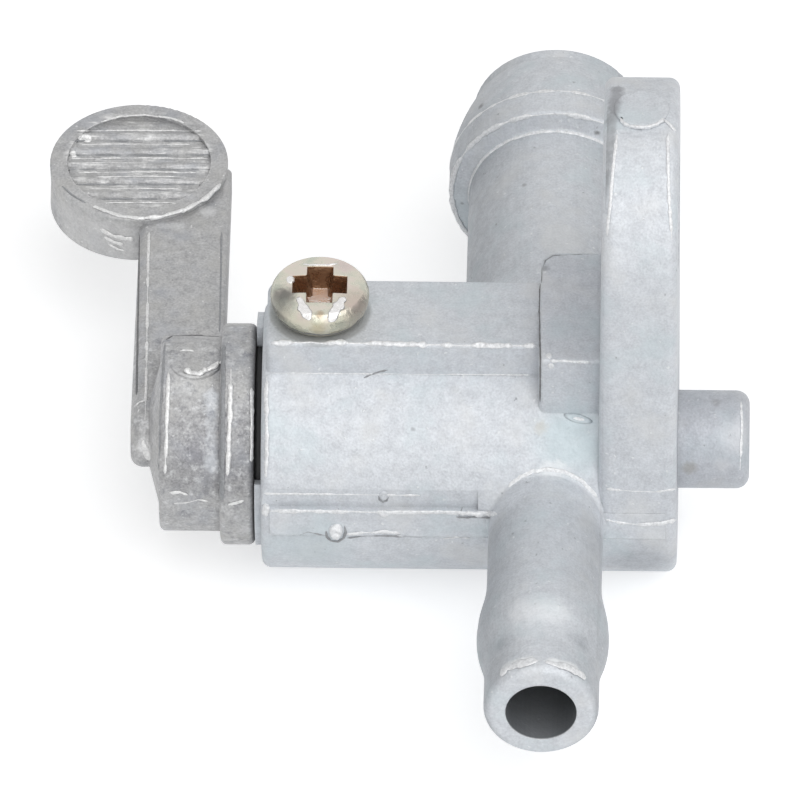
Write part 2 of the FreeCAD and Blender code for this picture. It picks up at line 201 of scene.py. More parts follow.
def makeFloor():
    half = studio["floorHalf"]
    level = cadBox[0].z - studio["floorDrop"] * mm
    mesh = bpy.data.meshes.new("floor")
    corners = [(-half, -half, level), (half, -half, level), (half, half, level), (-half, half, level)]
    mesh.from_pydata(corners, [], [(0, 1, 2, 3)])
    material = bpy.data.materials.new("paleFloor")
    tree = emptyTree(material)
    paint = addNode(tree, "ShaderNodeBsdfDiffuse", Color=studio["floorColour"])
    glow = addNode(tree, "ShaderNodeEmission", Color=(1, 1, 1, 1))
    link(tree, calc(tree, "MULTIPLY", seenBright(tree), studio["floorGlow"]), glow.inputs["Strength"])
    both = tree.nodes.new("ShaderNodeAddShader")
    link(tree, paint.outputs[0], both.inputs[0])
    link(tree, glow.outputs[0], both.inputs[1])
    out = tree.nodes.new("ShaderNodeOutputMaterial")
    link(tree, both.outputs[0], out.inputs["Surface"])
    mesh.materials.append(material)
    addObject("floor", mesh)


makeRoom()
makeLamp("keyLamp", studio["keyFrom"], studio["keySize"], studio["keyPower"])
makeLamp("lowFill", studio["fillFrom"], studio["fillSize"], studio["fillPower"])
makeFloor()
bpy.context.scene.view_settings.view_transform = "Standard"
print("studio ready")


# Places on the tap that the photograph shows, found by looking through its pixels
def surfaceOf(name):
    mesh = nodes[name].data
    places = [nodes[name].matrix_world @ vertex.co for vertex in mesh.vertices]
    return BVHTree.FromPolygons(places, [tuple(face.vertices) for face in mesh.polygons])


surfaces = {name: surfaceOf(name) for name in ("tap_body", "lever_spindle", "retaining_screw")}


def placeAt(name, px, row):
    # Where a pixel of the photograph meets a piece, and which way the surface faces there.
    eye = camera.location
    place, facing, _, _ = surfaces[name].ray_cast(eye, (pixelPlace(px, row) - eye).normalized())
    if place is None:
        return None
    if facing.dot(eye - place) < 0:
        facing = -facing
    return place, facing


# Metal finishes, all in the tap's own coordinates so that neighbours match
bodyFinish = {
    "pale": (0.74, 0.768, 0.805),
    "dull": (0.585, 0.607, 0.64),
    "cool": (0.62, 0.70, 0.73),
    "warm": (0.73, 0.735, 0.735),
    "wornAndHighlight": (0.92, 0.935, 0.95),
    "metallic": 0.3,
    "mottleMm": 0.7,
    "cloudMm": 3.2,
    "rough": (0.66, 0.48),
    "skinMm": 0.4,
    "skinDepthMm": 0.045,
    "grainDepthMm": 0.018,
    "fleckMm": 0.5,
    "pitShare": 0.14,
    "wearAndHighlightShare": 0.75,
}

leverFinish = {
    "pale": (0.55, 0.55, 0.552),
    "dull": (0.375, 0.375, 0.38),
    "cool": (0.41, 0.425, 0.46),
    "warm": (0.49, 0.485, 0.47),
    "wornAndHighlight": (0.84, 0.84, 0.835),
    "metallic": 0.78,
    "mottleMm": 0.6,
    "cloudMm": 2.0,
    "rough": (0.74, 0.54),
    "skinMm": 0.36,
    "skinDepthMm": 0.05,
    "grainDepthMm": 0.016,
    "fleckMm": 0.42,
    "pitShare": 0.16,
    "wearAndHighlightShare": 0.7,
}

# Patches of other colour, each at a pixel of the photograph: real spots, pits and tints, with painted
# shade, shadows and highlights marked below
bodyStainsAndLight = {
    "warmSmear": dict(at=(541, 428), radiusMm=0.5, colour=(0.62, 0.55, 0.46), share=0.5),
    "coolPatch": dict(at=(568, 440), radiusMm=2.6, colour=(0.60, 0.70, 0.73), share=0.55),
    "coolUnderside": dict(at=(310, 548), radiusMm=3.0, colour=(0.56, 0.64, 0.67), share=0.5),
    # Painted shadow in the gap between the plate's top corner and the inlet tube behind it.
    "plateCornerShadow": dict(
        at=(618, 88), to=(614, 112), radiusMm=0.5, colour=(0.25, 0.25, 0.27), share=0.65
    ),
    "pinFrost": dict(at=(737, 436), radiusMm=1.3, colour=(0.86, 0.87, 0.88), share=0.45),
    "pinFrostLow": dict(at=(722, 465), radiusMm=0.6, colour=(0.84, 0.85, 0.86), share=0.45),
    "pinGrime": dict(at=(689, 468), radiusMm=0.6, colour=(0.46, 0.43, 0.38), share=0.5),
    "pinGrimeTop": dict(at=(716, 402), radiusMm=0.4, colour=(0.42, 0.42, 0.43), share=0.5),
    # Painted highlights on the outlet's rim, where its rounded edge catches the light.
    "rimHighlightLeft": dict(
        at=(503, 669), to=(531, 660), radiusMm=0.42, colour=(0.97, 0.98, 0.985), share=0.8
    ),
    "rimHighlightRight": dict(
        at=(549, 661), to=(576, 668), radiusMm=0.36, colour=(0.97, 0.98, 0.985), share=0.7
    ),
    # Painted shadow, lower down the same gap.
    "plateCornerShadowLow": dict(at=(611, 118), radiusMm=0.6, colour=(0.3, 0.3, 0.32), share=0.5),
    "beadPit": dict(at=(597, 133), radiusMm=0.22, colour=(0.2, 0.2, 0.2), share=0.8),
    "taperPit": dict(at=(481, 106), radiusMm=0.3, colour=(0.25, 0.25, 0.26), share=0.7),
    "neckPit": dict(at=(524, 185), radiusMm=0.2, colour=(0.3, 0.3, 0.31), share=0.6),
    "barrelPit": dict(at=(413, 429), radiusMm=0.16, colour=(0.3, 0.31, 0.33), share=0.6),
    "blockCorner": dict(at=(545, 268), radiusMm=0.35, colour=(0.3, 0.31, 0.33), share=0.6),
    "pin": dict(at=(716, 440), radiusMm=7, shade=(0.77, 0.77, 0.785), share=0.95),
    # Painted shade: the plate's lower end darker, where it faces down.
    "plateLowShade": dict(at=(640, 562), radiusMm=2.6, shade=(0.7, 0.705, 0.715), share=0.9),
    # Painted shadow of the plate on the top of the block.
    "blockTopShadow": dict(at=(566, 275), to=(568, 345), radiusMm=3.2, shade=(0.93, 0.925, 0.935), share=0.9),
    # Painted highlight on the front slope of the outlet's bead, and painted shade on the band below it.
    "beadHighlight": dict(
        at=(518, 612), to=(562, 612), radiusMm=1.1, colour=(0.92, 0.935, 0.95), share=0.38
    ),
    "beadShade": dict(at=(500, 645), to=(584, 645), radiusMm=0.7, shade=(0.82, 0.83, 0.84), share=0.8),
    # Painted shade on the outlet's neck just below its root.
    "neckTopShade": dict(at=(540, 500), to=(540, 540), radiusMm=2.2, shade=(0.91, 0.915, 0.92), share=0.8),
    # Painted highlight along the fillet at the outlet's root.
    "outletRootHighlight": dict(
        at=(545, 470), to=(560, 470), radiusMm=0.8, colour=(0.9, 0.915, 0.93), share=0.5
    ),
}

leverStainsAndLight = {
    "paleFacet": dict(at=(145, 448), radiusMm=0.6, colour=(0.8, 0.8, 0.8), share=0.8),
    "paleHub": dict(at=(189, 388), radiusMm=1.3, colour=(0.62, 0.62, 0.61), share=0.4),
    "darkHub": dict(at=(196, 452), radiusMm=1.1, colour=(0.33, 0.33, 0.36), share=0.45),
    # Painted shade on the front and the lower side of the hub and collar.
    "hubFrontShade": dict(at=(175, 425), to=(250, 435), radiusMm=2.6, shade=(0.76, 0.76, 0.77), share=0.85),
    "hubLowShade": dict(at=(175, 474), to=(250, 478), radiusMm=1.8, shade=(0.72, 0.72, 0.73), share=0.85),
    # Painted light: the side of the thumb pad lightened.
    "padSideLight": dict(at=(70, 222), to=(128, 243), radiusMm=2.4, colour=(0.66, 0.66, 0.66), share=0.45),
    "paleHubSide": dict(
        at=(212, 395), to=(212, 468), radiusMm=0.6, colour=(0.66, 0.685, 0.72), share=0.6
    ),
    "armFrost": dict(at=(207, 211), radiusMm=0.7, colour=(0.74, 0.745, 0.75), share=0.5),
    "armFrostLeft": dict(
        at=(160, 225), to=(182, 226), radiusMm=0.4, colour=(0.7, 0.71, 0.72), share=0.4
    ),
}


def noiseOf(tree, place, sizeMm, detail=3.0, rough=0.55):
    scale = 1 / (sizeMm * mm)
    texture = addNode(tree, "ShaderNodeTexNoise", Scale=scale, Detail=detail, Roughness=rough)
    link(tree, place, texture.inputs["Vector"])
    return texture.outputs["Fac"]


def spread(tree, value, low, high, fromLow=0.35, fromHigh=0.65):
    ramp = addNode(
        tree, "ShaderNodeMapRange", From_Min=fromLow, From_Max=fromHigh, To_Min=low, To_Max=high
    )
    link(tree, value, ramp.inputs["Value"])
    return ramp.outputs["Result"]


def mixColour(tree, share, first, second, blend="MIX"):
    node = tree.nodes.new("ShaderNodeMix")
    node.data_type = "RGBA"
    node.blend_type = blend
    if isinstance(share, (int, float)):
        node.inputs[0].default_value = share
    else:
        link(tree, share, node.inputs[0])
    for socket, value in ((node.inputs[6], first), (node.inputs[7], second)):
        if isinstance(value, tuple):
            socket.default_value = value + (1,)
        else:
            link(tree, value, socket)
    return node.outputs[2]


def product(tree, first, *others):
    for other in others:
        first = calc(tree, "MULTIPLY", first, other)
    return first


def partsOf(tree, vector):
    split = tree.nodes.new("ShaderNodeSeparateXYZ")
    link(tree, vector, split.inputs[0])
    return split.outputs


def vectorStep(tree, operation, first, second):
    node = tree.nodes.new("ShaderNodeVectorMath")
    node.operation = operation
    for socket, value in zip(node.inputs, (first, second)):
        if isinstance(value, (tuple, Vector)):
            socket.default_value = value
        else:
            link(tree, value, socket)
    return node


def warped(tree, place, sizeMm, reachMm):
    # Coordinates pushed about by noise, so that dots and borders aren't round.
    detail = borders["warpDetail"]
    texture = addNode(tree, "ShaderNodeTexNoise", Scale=1 / (sizeMm * mm), Detail=detail)
    link(tree, place, texture.inputs["Vector"])
    push = vectorStep(tree, "SUBTRACT", texture.outputs["Color"], (0.5, 0.5, 0.5))
    reach = (reachMm * mm,) * 3
    scaled = vectorStep(tree, "MULTIPLY", push.outputs[0], reach)
    return vectorStep(tree, "ADD", place, scaled.outputs[0]).outputs[0]


# How uneven dots and patches are, and how much of each is solid before it fades
borders = {
    "warpDetail": 2.0,
    "dotWarp": (0.3, 0.5),  # size and reach of the warp, in cells
    "dotCore": 0.4,
    "patchWarpMm": 0.3,
    "patchReach": 0.9,
    "patchReachMostMm": 0.7,
    "patchCore": 0.35,
}


def dotsOf(tree, place, sizeMm, share, radius):
    # Scattered irregular dots: one cell in every few holds one.
    cells = addNode(tree, "ShaderNodeTexVoronoi", Scale=1 / (sizeMm * mm))
    warpSize, warpReach = borders["dotWarp"]
    uneven = warped(tree, place, sizeMm * warpSize, sizeMm * warpReach)
    link(tree, uneven, cells.inputs["Vector"])
    pick = tree.nodes.new("ShaderNodeSeparateColor")
    link(tree, cells.outputs["Color"], pick.inputs[0])
    chosen = calc(tree, "LESS_THAN", pick.outputs[0], share)
    dot = spread(tree, cells.outputs["Distance"], 1, 0, radius * borders["dotCore"], radius)
    return product(tree, chosen, dot)


def nearPlace(tree, place, centre, radiusMm, end=None):
    # 1 at a point of the tap and 0 past a radius from it, with an uneven border.
    # With an end it is a band between the two points.
    reachMm = min(radiusMm * borders["patchReach"], borders["patchReachMostMm"])
    uneven = warped(tree, place, borders["patchWarpMm"], reachMm)
    fade = (radiusMm * mm * borders["patchCore"], radiusMm * mm)
    if end is None:
        away = vectorStep(tree, "DISTANCE", uneven, centre)
        return spread(tree, away.outputs["Value"], 1, 0, *fade)
    along = (end - centre).normalized()
    offset = vectorStep(tree, "SUBTRACT", uneven, centre).outputs[0]
    crossed = vectorStep(tree, "CROSS_PRODUCT", offset, along).outputs[0]
    away = vectorStep(tree, "LENGTH", crossed, (0, 0, 0)).outputs["Value"]
    reached = vectorStep(tree, "DOT_PRODUCT", offset, along).outputs["Value"]
    half = (end - centre).length / 2
    past = calc(tree, "ABSOLUTE", calc(tree, "SUBTRACT", reached, half))
    past = calc(tree, "SUBTRACT", past, half)
    beyond = calc(tree, "MAXIMUM", past, 0.0)
    return spread(tree, calc(tree, "ADD", away, beyond), 1, 0, *fade)


def applyStainsAndLight(tree, place, colour, node, stainsAndLight):
    # A patch covers with its colour, or darkens by its shade; some are real marks, some painted shade,
    # shadows and highlights.
    for tonePatch in stainsAndLight.values():
        spot = placeAt(node, *tonePatch["at"])[0]
        end = placeAt(node, *tonePatch["to"])[0] if "to" in tonePatch else None
        share = product(tree, nearPlace(tree, place, spot, tonePatch["radiusMm"], end), tonePatch["share"])
        if "shade" in tonePatch:
            colour = mixColour(tree, share, colour, tonePatch["shade"], "MULTIPLY")
        else:
            colour = mixColour(tree, share, colour, tonePatch["colour"])
    return colour


def bumpOn(tree, height, depthMm, under=None):
    bump = addNode(tree, "ShaderNodeBump", Strength=1.0, Distance=depthMm * mm)
    link(tree, height, bump.inputs["Height"])
    if under is not None:
        link(tree, under, bump.inputs["Normal"])
    return bump.outputs["Normal"]


def startMaterial(name):
    material = bpy.data.materials.new(name)
    tree = emptyTree(material)
    place = tree.nodes.new("ShaderNodeTexCoord").outputs["Object"]
    skin = tree.nodes.new("ShaderNodeBsdfPrincipled")
    out = tree.nodes.new("ShaderNodeOutputMaterial")
    link(tree, skin.outputs[0], out.inputs["Surface"])
    return material, tree, place, skin


# How many rays the shading of corners and edges sends out
shadeRays = {"corners": 6, "edges": 4}


def dress(tree, skin, colour, roughness, normal, metallic=0.0):
    link(tree, colour, skin.inputs["Base Color"])
    link(tree, roughness, skin.inputs["Roughness"])
    link(tree, normal, skin.inputs["Normal"])
    skin.inputs["Metallic"].default_value = metallic


def openness(tree, reachMm):
    # 1 on open faces, towards 0 in corners and joints.
    shade = addNode(tree, "ShaderNodeAmbientOcclusion", Distance=reachMm * mm)
    shade.samples = shadeRays["corners"]
    return shade.outputs["AO"]


def roundedNormal(tree, reachMm):
    rounded = addNode(tree, "ShaderNodeBevel", Radius=reachMm * mm)
    rounded.samples = shadeRays["edges"]
    return rounded.outputs[0]


# What both castings share. A pair gives the two levels between which a layer sets in.
castSkin = {
    "grainMm": 0.13,
    "grainShare": 0.5,
    "fleckShare": 0.2,
    "pitMm": 0.7,
    "edgeMm": 0.16,
    "creviceMm": 0.7,
    "mottleDetail": (5.0, 0.65),
    "grainDetail": 2.0,
    "rippleDetail": (3.0, 0.5),
    "coolFrom": (0.52, 0.68),
    "coolShare": 0.5,
    "warmFrom": (0.32, 0.46),
    "warmShare": 0.45,
    "fleckRadius": 0.2,
    "pitRadius": 0.13,
    "dotShare": 0.7,
    "dotDepthMm": 0.02,
    "pitAndShadeTone": 0.6,
    "cornerShadeShare": 0.6,
    "cornerShadeFrom": (0.3, 0.75),
    "edgeFrom": (0.84, 0.985),
    "wearFrom": (0.72, 0.9),
    "wearPatchMm": 0.3,
    "wearPatchFrom": (0.4, 0.6),
    "wearLeast": 0.15,
}


def softEdges(tree):
    # The normal rounded over sharp edges, and how near the nearest edge is.
    rounded = roundedNormal(tree, castSkin["edgeMm"])
    flat = tree.nodes.new("ShaderNodeNewGeometry")
    same = vectorStep(tree, "DOT_PRODUCT", rounded, flat.outputs["Normal"])
    return rounded, spread(tree, same.outputs["Value"], 1, 0, *castSkin["edgeFrom"])


def castMetal(name, finish, stainsAndLight, node):
    material, tree, place, skin = startMaterial(name)
    mottle = noiseOf(tree, place, finish["mottleMm"], *castSkin["mottleDetail"])
    grain = noiseOf(tree, place, castSkin["grainMm"], castSkin["grainDetail"])
    mottleShare = product(tree, mottle, 1 - castSkin["grainShare"])
    blend = calc(tree, "ADD", mottleShare, product(tree, grain, castSkin["grainShare"]))
    colour = mixColour(tree, spread(tree, blend, 0, 1), finish["dull"], finish["pale"])
    cloud = noiseOf(tree, place, finish["cloudMm"])
    cool = spread(tree, cloud, 0, castSkin["coolShare"], *castSkin["coolFrom"])
    colour = mixColour(tree, cool, colour, finish["cool"])
    warm = spread(tree, cloud, castSkin["warmShare"], 0, *castSkin["warmFrom"])
    colour = mixColour(tree, warm, colour, finish["warm"])
    flecks = dotsOf(tree, place, finish["fleckMm"], castSkin["fleckShare"], castSkin["fleckRadius"])
    colour = mixColour(tree, product(tree, flecks, castSkin["dotShare"]), colour, finish["wornAndHighlight"])
    pits = dotsOf(tree, place, castSkin["pitMm"], finish["pitShare"], castSkin["pitRadius"])
    pitAndShadeColour = tuple(channel * castSkin["pitAndShadeTone"] for channel in finish["dull"])
    colour = mixColour(tree, product(tree, pits, castSkin["dotShare"]), colour, pitAndShadeColour)
    colour = applyStainsAndLight(tree, place, colour, node, stainsAndLight)
    # Pale on open edges: partly rubbing, partly a painted highlight where the edges catch the light.
    rounded, nearEdge = softEdges(tree)
    opening = openness(tree, castSkin["creviceMm"])
    exposed = spread(tree, opening, 0, 1, *castSkin["wearFrom"])
    patches = noiseOf(tree, place, castSkin["wearPatchMm"], castSkin["grainDetail"])
    patches = spread(tree, patches, castSkin["wearLeast"], 1, *castSkin["wearPatchFrom"])
    wearAndHighlight = product(tree, nearEdge, exposed, patches, finish["wearAndHighlightShare"])
    colour = mixColour(tree, wearAndHighlight, colour, finish["wornAndHighlight"])
    # Painted shade: darker in corners, creases and joints, where less light reaches.
    cornerShade = spread(tree, opening, castSkin["cornerShadeShare"], 0, *castSkin["cornerShadeFrom"])
    colour = mixColour(tree, cornerShade, colour, pitAndShadeColour)
    ripple = noiseOf(tree, place, finish["skinMm"], *castSkin["rippleDetail"])
    normal = bumpOn(tree, ripple, finish["skinDepthMm"], rounded)
    normal = bumpOn(tree, grain, finish["grainDepthMm"], normal)
    normal = bumpOn(tree, calc(tree, "SUBTRACT", flecks, pits), castSkin["dotDepthMm"], normal)
    dress(tree, skin, colour, spread(tree, blend, *finish["rough"]), normal, finish["metallic"])
    return material, (tree, place, skin, colour)


def distanceFrom(tree, first, second, centre):
    # How far a point is from an axis, by its two coordinates across that axis.
    offsets = [calc(tree, "SUBTRACT", value, middle) for value, middle in zip((first, second), centre)]
    squares = [product(tree, offset, offset) for offset in offsets]
    return calc(tree, "SQRT", calc(tree, "ADD", *squares))


def trueNormal(tree):
    return partsOf(tree, tree.nodes.new("ShaderNodeNewGeometry").outputs["True Normal"])


outletTip = [mount for mount in frame["record"]["mounts"] if mount["name"] == "outlet_tip"][0]
boreDarkening = {
    "axisX": outletTip["pos_m"][0],
    "radius": 1.99 * mm,
    "wallSoft": (-0.01 * mm, 0.02 * mm),
    "mouth": cadBox[0].y,
    "mouthSoft": (0, 0.12 * mm),
    "colour": (0.26, 0.272, 0.288),
}


def boreShade(tree, spots, colour):
    # The drilled passage is darker, from the outlet's mouth inwards.
    away = distanceFrom(tree, spots["X"], spots["Z"], (boreDarkening["axisX"], 0))
    wall = [boreDarkening["radius"] + soft for soft in boreDarkening["wallSoft"]]
    mouth = [boreDarkening["mouth"] + soft for soft in boreDarkening["mouthSoft"]]
    share = product(tree, spread(tree, away, 1, 0, *wall), spread(tree, spots["Y"], 0, 1, *mouth))
    return mixColour(tree, share, colour, boreDarkening["colour"])


flankShading = {
    "share": 0.95,
    "turned": (0.2, 0.85),
    "from": (8.2 * mm, 9.5 * mm),
    "shade": (0.73, 0.735, 0.74),
}


def flankShade(tree, spots, faces, colour):
    # Painted shade: the two sides of both tubes are darker than their crowns.
    flank = spread(tree, calc(tree, "ABSOLUTE", faces["X"]), 0, flankShading["share"], *flankShading["turned"])
    beyond = spread(tree, calc(tree, "ABSOLUTE", spots["Y"]), 0, 1, *flankShading["from"])
    return mixColour(tree, product(tree, flank, beyond), colour, flankShading["shade"], "MULTIPLY")


plateStripShade = {
    "plane": -4.25 * mm,
    "width": (0.16 * mm, 0.85 * mm),
    "from": (21.3 * mm, 24.2 * mm),
    "soft": (-0.12 * mm, 0.06 * mm),
    "innerFace": -0.75,  # the strip stays off faces that look further inwards than this
    "front": (-2 * mm, 1 * mm),
    "rise": (12 * mm, 20 * mm),
    "lowShare": 0.3,
    "patchMm": 0.6,
    "patchFrom": (0.4, 0.55),
    "patchLeast": 0.7,
    "share": 0.75,
    "colour": (0.32, 0.33, 0.345),
}


def stripShade(tree, place, spots, faces, colour):
    # Painted shade: a dark strip runs up the plate's edge beside its inner face, and widens towards the
    # top.
    side = spread(tree, spots["Z"], *plateStripShade["width"], *plateStripShade["from"])
    past = calc(tree, "SUBTRACT", spots["X"], calc(tree, "ADD", side, plateStripShade["plane"]))
    patches = noiseOf(tree, place, plateStripShade["patchMm"])
    strip = product(
        tree,
        spread(tree, past, plateStripShade["share"], 0, *plateStripShade["soft"]),
        calc(tree, "GREATER_THAN", spots["X"], plateStripShade["plane"]),
        calc(tree, "GREATER_THAN", faces["X"], plateStripShade["innerFace"]),
        spread(tree, spots["Y"], 1, 0, *plateStripShade["front"]),
        spread(tree, spots["Z"], plateStripShade["lowShare"], 1, *plateStripShade["rise"]),
        spread(tree, patches, plateStripShade["patchLeast"], 1, *plateStripShade["patchFrom"]),
    )
    return mixColour(tree, strip, colour, plateStripShade["colour"])


screwLow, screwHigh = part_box("retaining_screw")
screwMiddle = (screwLow + screwHigh) / 2
screwSeat = {
    "axis": (screwMiddle.x, screwMiddle.y),
    "radius": screwHigh.x - screwMiddle.x,
    "soft": 0.16 * mm,
    "level": screwHigh.z - 2.2 * mm,
    "levelSoft": 0.1 * mm,
    "colour": (0.24, 0.235, 0.22),
    "share": 0.35,
}


def seatShadow(tree, spots, colour):
    # A painted shadow rings the seat of the screw, under its head.
    head = distanceFrom(tree, spots["X"], spots["Y"], screwSeat["axis"])
    ring = spread(tree, head, 1, 0, screwSeat["radius"], screwSeat["radius"] + screwSeat["soft"])
    low = screwSeat["level"] - screwSeat["levelSoft"]
    level = spread(tree, spots["Z"], 0, 1, low, screwSeat["level"])
    return mixColour(tree, product(tree, ring, level, screwSeat["share"]), colour, screwSeat["colour"])


def bodyShades(tree, place, skin, colour):
    spots = partsOf(tree, place)
    faces = trueNormal(tree)
    colour = boreShade(tree, spots, colour)
    colour = flankShade(tree, spots, faces, colour)
    colour = stripShade(tree, place, spots, faces, colour)
    link(tree, seatShadow(tree, spots, colour), skin.inputs["Base Color"])


hubSkin = {
    "radius": 6.6 * mm,
    "border": 0.3 * mm,
    "bright": (0.80, 0.81, 0.82),
    "brightMm": 0.55,
    "brightFrom": (0.54, 0.7),
    "brightShare": 0.55,
    "darkShade": (0.70, 0.705, 0.73),
    "darkMm": 0.9,
    "darkFrom": (0.33, 0.46),
    "darkShare": 0.9,
    "detail": (5.0, 0.7),
}


def hubBlotches(tree, place, skin, colour):
    # The hub and collar are frosted and blotchy, the arm isn't.
    spots = partsOf(tree, place)
    away = distanceFrom(tree, spots["Y"], spots["Z"], (0, 0))
    inside = spread(tree, away, 1, 0, hubSkin["radius"] - hubSkin["border"], hubSkin["radius"])
    frost = noiseOf(tree, place, hubSkin["brightMm"], *hubSkin["detail"])
    frost = spread(tree, frost, 0, hubSkin["brightShare"], *hubSkin["brightFrom"])
    murk = noiseOf(tree, place, hubSkin["darkMm"], *hubSkin["detail"])
    murk = spread(tree, murk, hubSkin["darkShare"], 0, *hubSkin["darkFrom"])
    colour = mixColour(tree, product(tree, inside, murk), colour, hubSkin["darkShade"], "MULTIPLY")
    colour = mixColour(tree, product(tree, inside, frost), colour, hubSkin["bright"])
    return tree, place, skin, colour


padFloor = {
    "at": (139, 161),
    "radiusMm": 4.35,
    "borderMm": 0.3,
    "depthFromMm": (-0.9, -0.7),
    "streakMm": 0.3,
    "streakDetail": (3.0, 0.6),
    "stretch": 0.16,
    "bright": (0.78, 0.78, 0.775),
    "brightFrom": (0.5, 0.62),
    "patchMm": 0.7,
    "patchFrom": (0.42, 0.6),
    "patchShare": 0.8,
    "dark": (0.32, 0.32, 0.32),
    "darkFrom": (0.34, 0.44),
    "darkShare": 0.5,
    "depthMm": 0.07,
}


def padScratches(tree, place, skin, colour):
    # The ridged floor of the thumb pad is scratched and patchy along its ridges.
    centre = placeAt("lever_spindle", *padFloor["at"])[0]
    spots = partsOf(tree, place)
    away = distanceFrom(tree, spots["X"], spots["Y"], (centre.x, centre.y))
    radius, border = padFloor["radiusMm"] * mm, padFloor["borderMm"] * mm
    heights = [centre.z + depth * mm for depth in padFloor["depthFromMm"]]
    inside = spread(tree, away, 1, 0, radius - border, radius)
    inside = product(tree, inside, spread(tree, spots["Z"], 0, 1, *heights))
    drawn = vectorStep(tree, "MULTIPLY", place, (padFloor["stretch"], 1.0, 1.0)).outputs[0]
    streaks = noiseOf(tree, drawn, padFloor["streakMm"], *padFloor["streakDetail"])
    patches = noiseOf(tree, place, padFloor["patchMm"])
    patches = spread(tree, patches, 0, padFloor["patchShare"], *padFloor["patchFrom"])
    bright = product(tree, inside, spread(tree, streaks, 0, 1, *padFloor["brightFrom"]), patches)
    dark = product(tree, inside, spread(tree, streaks, padFloor["darkShare"], 0, *padFloor["darkFrom"]))
    colour = mixColour(tree, dark, colour, padFloor["dark"])
    colour = mixColour(tree, bright, colour, padFloor["bright"])
    link(tree, colour, skin.inputs["Base Color"])
    before = skin.inputs["Normal"].links[0].from_socket
    height = product(tree, inside, streaks)
    link(tree, bumpOn(tree, height, padFloor["depthMm"], before), skin.inputs["Normal"])


screwFinish = {
    "straw": (0.66, 0.63, 0.54),
    "green": (0.53, 0.56, 0.48),
    "pink": (0.71, 0.61, 0.57),
    # The side colour is painted shade on the steep rim of the head.
    "side": (0.52, 0.51, 0.40),
    "brown": (0.33, 0.20, 0.12),
    "floor": (0.72, 0.66, 0.63),
    "tintMm": 1.0,
    "strawFrom": (0.32, 0.52),
    "pinkFrom": (0.5, 0.7),
    "steepFrom": (0.25, 0.8),
    "sideShadeShare": 0.65,
    "recessRadius": (1.7 * mm, 1.85 * mm),
    "floorDepth": (-0.75 * mm, -0.6 * mm),
    "edgeMm": 0.1,
    "skinMm": 0.32,
    "skinDepthMm": 0.05,
    "metallic": 0.85,
    "rough": (0.2, 0.36),
}

screwSmearsAndShade = {
    # The dark and grey patches on the left and the pink-brown one on the right are painted shade on the
    # sides of the head; the rest are smears.
    "darkLeftShade": dict(at=(285, 295), radiusMm=0.7, colour=(0.14, 0.13, 0.12), share=0.8),
    "greyLeftShade": dict(at=(277, 302), radiusMm=1.4, colour=(0.18, 0.18, 0.165), share=0.75),
    "pinkRightShade": dict(at=(357, 303), radiusMm=1.5, colour=(0.5, 0.4, 0.35), share=0.6),
    "pinkBack": dict(at=(345, 266), radiusMm=0.8, colour=(0.62, 0.5, 0.5), share=0.6),
    "oliveFront": dict(at=(318, 329), radiusMm=0.6, colour=(0.42, 0.36, 0.22), share=0.5),
    "brownFront": dict(at=(320, 314), radiusMm=0.35, colour=(0.4, 0.28, 0.17), share=0.6),
}

rubberFinish = {
    "black": (0.016, 0.016, 0.017),
    "dusty": (0.035, 0.035, 0.036),
    "patchMm": 0.8,
    "detail": 4.0,
    "rough": (0.5, 0.7),
    "depthMm": 0.01,
}


def zincPlate():
    material, tree, place, skin = startMaterial("yellowPassivatedZinc")
    tint = noiseOf(tree, place, screwFinish["tintMm"])
    straw = spread(tree, tint, 0, 1, *screwFinish["strawFrom"])
    colour = mixColour(tree, straw, screwFinish["green"], screwFinish["straw"])
    pink = spread(tree, tint, 0, 1, *screwFinish["pinkFrom"])
    colour = mixColour(tree, pink, colour, screwFinish["pink"])
    # The rim is painted darker than the crown as painted shade, the recess walls are a brown that is
    # partly the plating's colour and partly painted shade, and the floor is pinkish.
    steep = spread(tree, trueNormal(tree)["Z"], 1, 0, *screwFinish["steepFrom"])
    spots = partsOf(tree, place)
    away = distanceFrom(tree, spots["X"], spots["Y"], screwSeat["axis"])
    rim = product(tree, steep, screwFinish["sideShadeShare"])
    colour = mixColour(tree, rim, colour, screwFinish["side"])
    colour = applyStainsAndLight(tree, place, colour, "retaining_screw", screwSmearsAndShade)
    inner = spread(tree, away, 1, 0, *screwFinish["recessRadius"])
    colour = mixColour(tree, product(tree, inner, steep), colour, screwFinish["brown"])
    levels = [screwHigh.z + depth for depth in screwFinish["floorDepth"]]
    deep = spread(tree, spots["Z"], 1, 0, *levels)
    low = product(tree, deep, inner, calc(tree, "SUBTRACT", 1.0, steep))
    colour = mixColour(tree, low, colour, screwFinish["floor"])
    ripple = noiseOf(tree, place, screwFinish["skinMm"])
    rounded = roundedNormal(tree, screwFinish["edgeMm"])
    normal = bumpOn(tree, ripple, screwFinish["skinDepthMm"], rounded)
    roughness = spread(tree, tint, *screwFinish["rough"])
    dress(tree, skin, colour, roughness, normal, screwFinish["metallic"])
    return material


def sealRubber():
    material, tree, place, skin = startMaterial("sealRubber")
    dust = noiseOf(tree, place, rubberFinish["patchMm"], rubberFinish["detail"])
    colour = mixColour(tree, spread(tree, dust, 0, 1), rubberFinish["black"], rubberFinish["dusty"])
    roughness = spread(tree, dust, *rubberFinish["rough"])
    dress(tree, skin, colour, roughness, bumpOn(tree, dust, rubberFinish["depthMm"]))
    return material


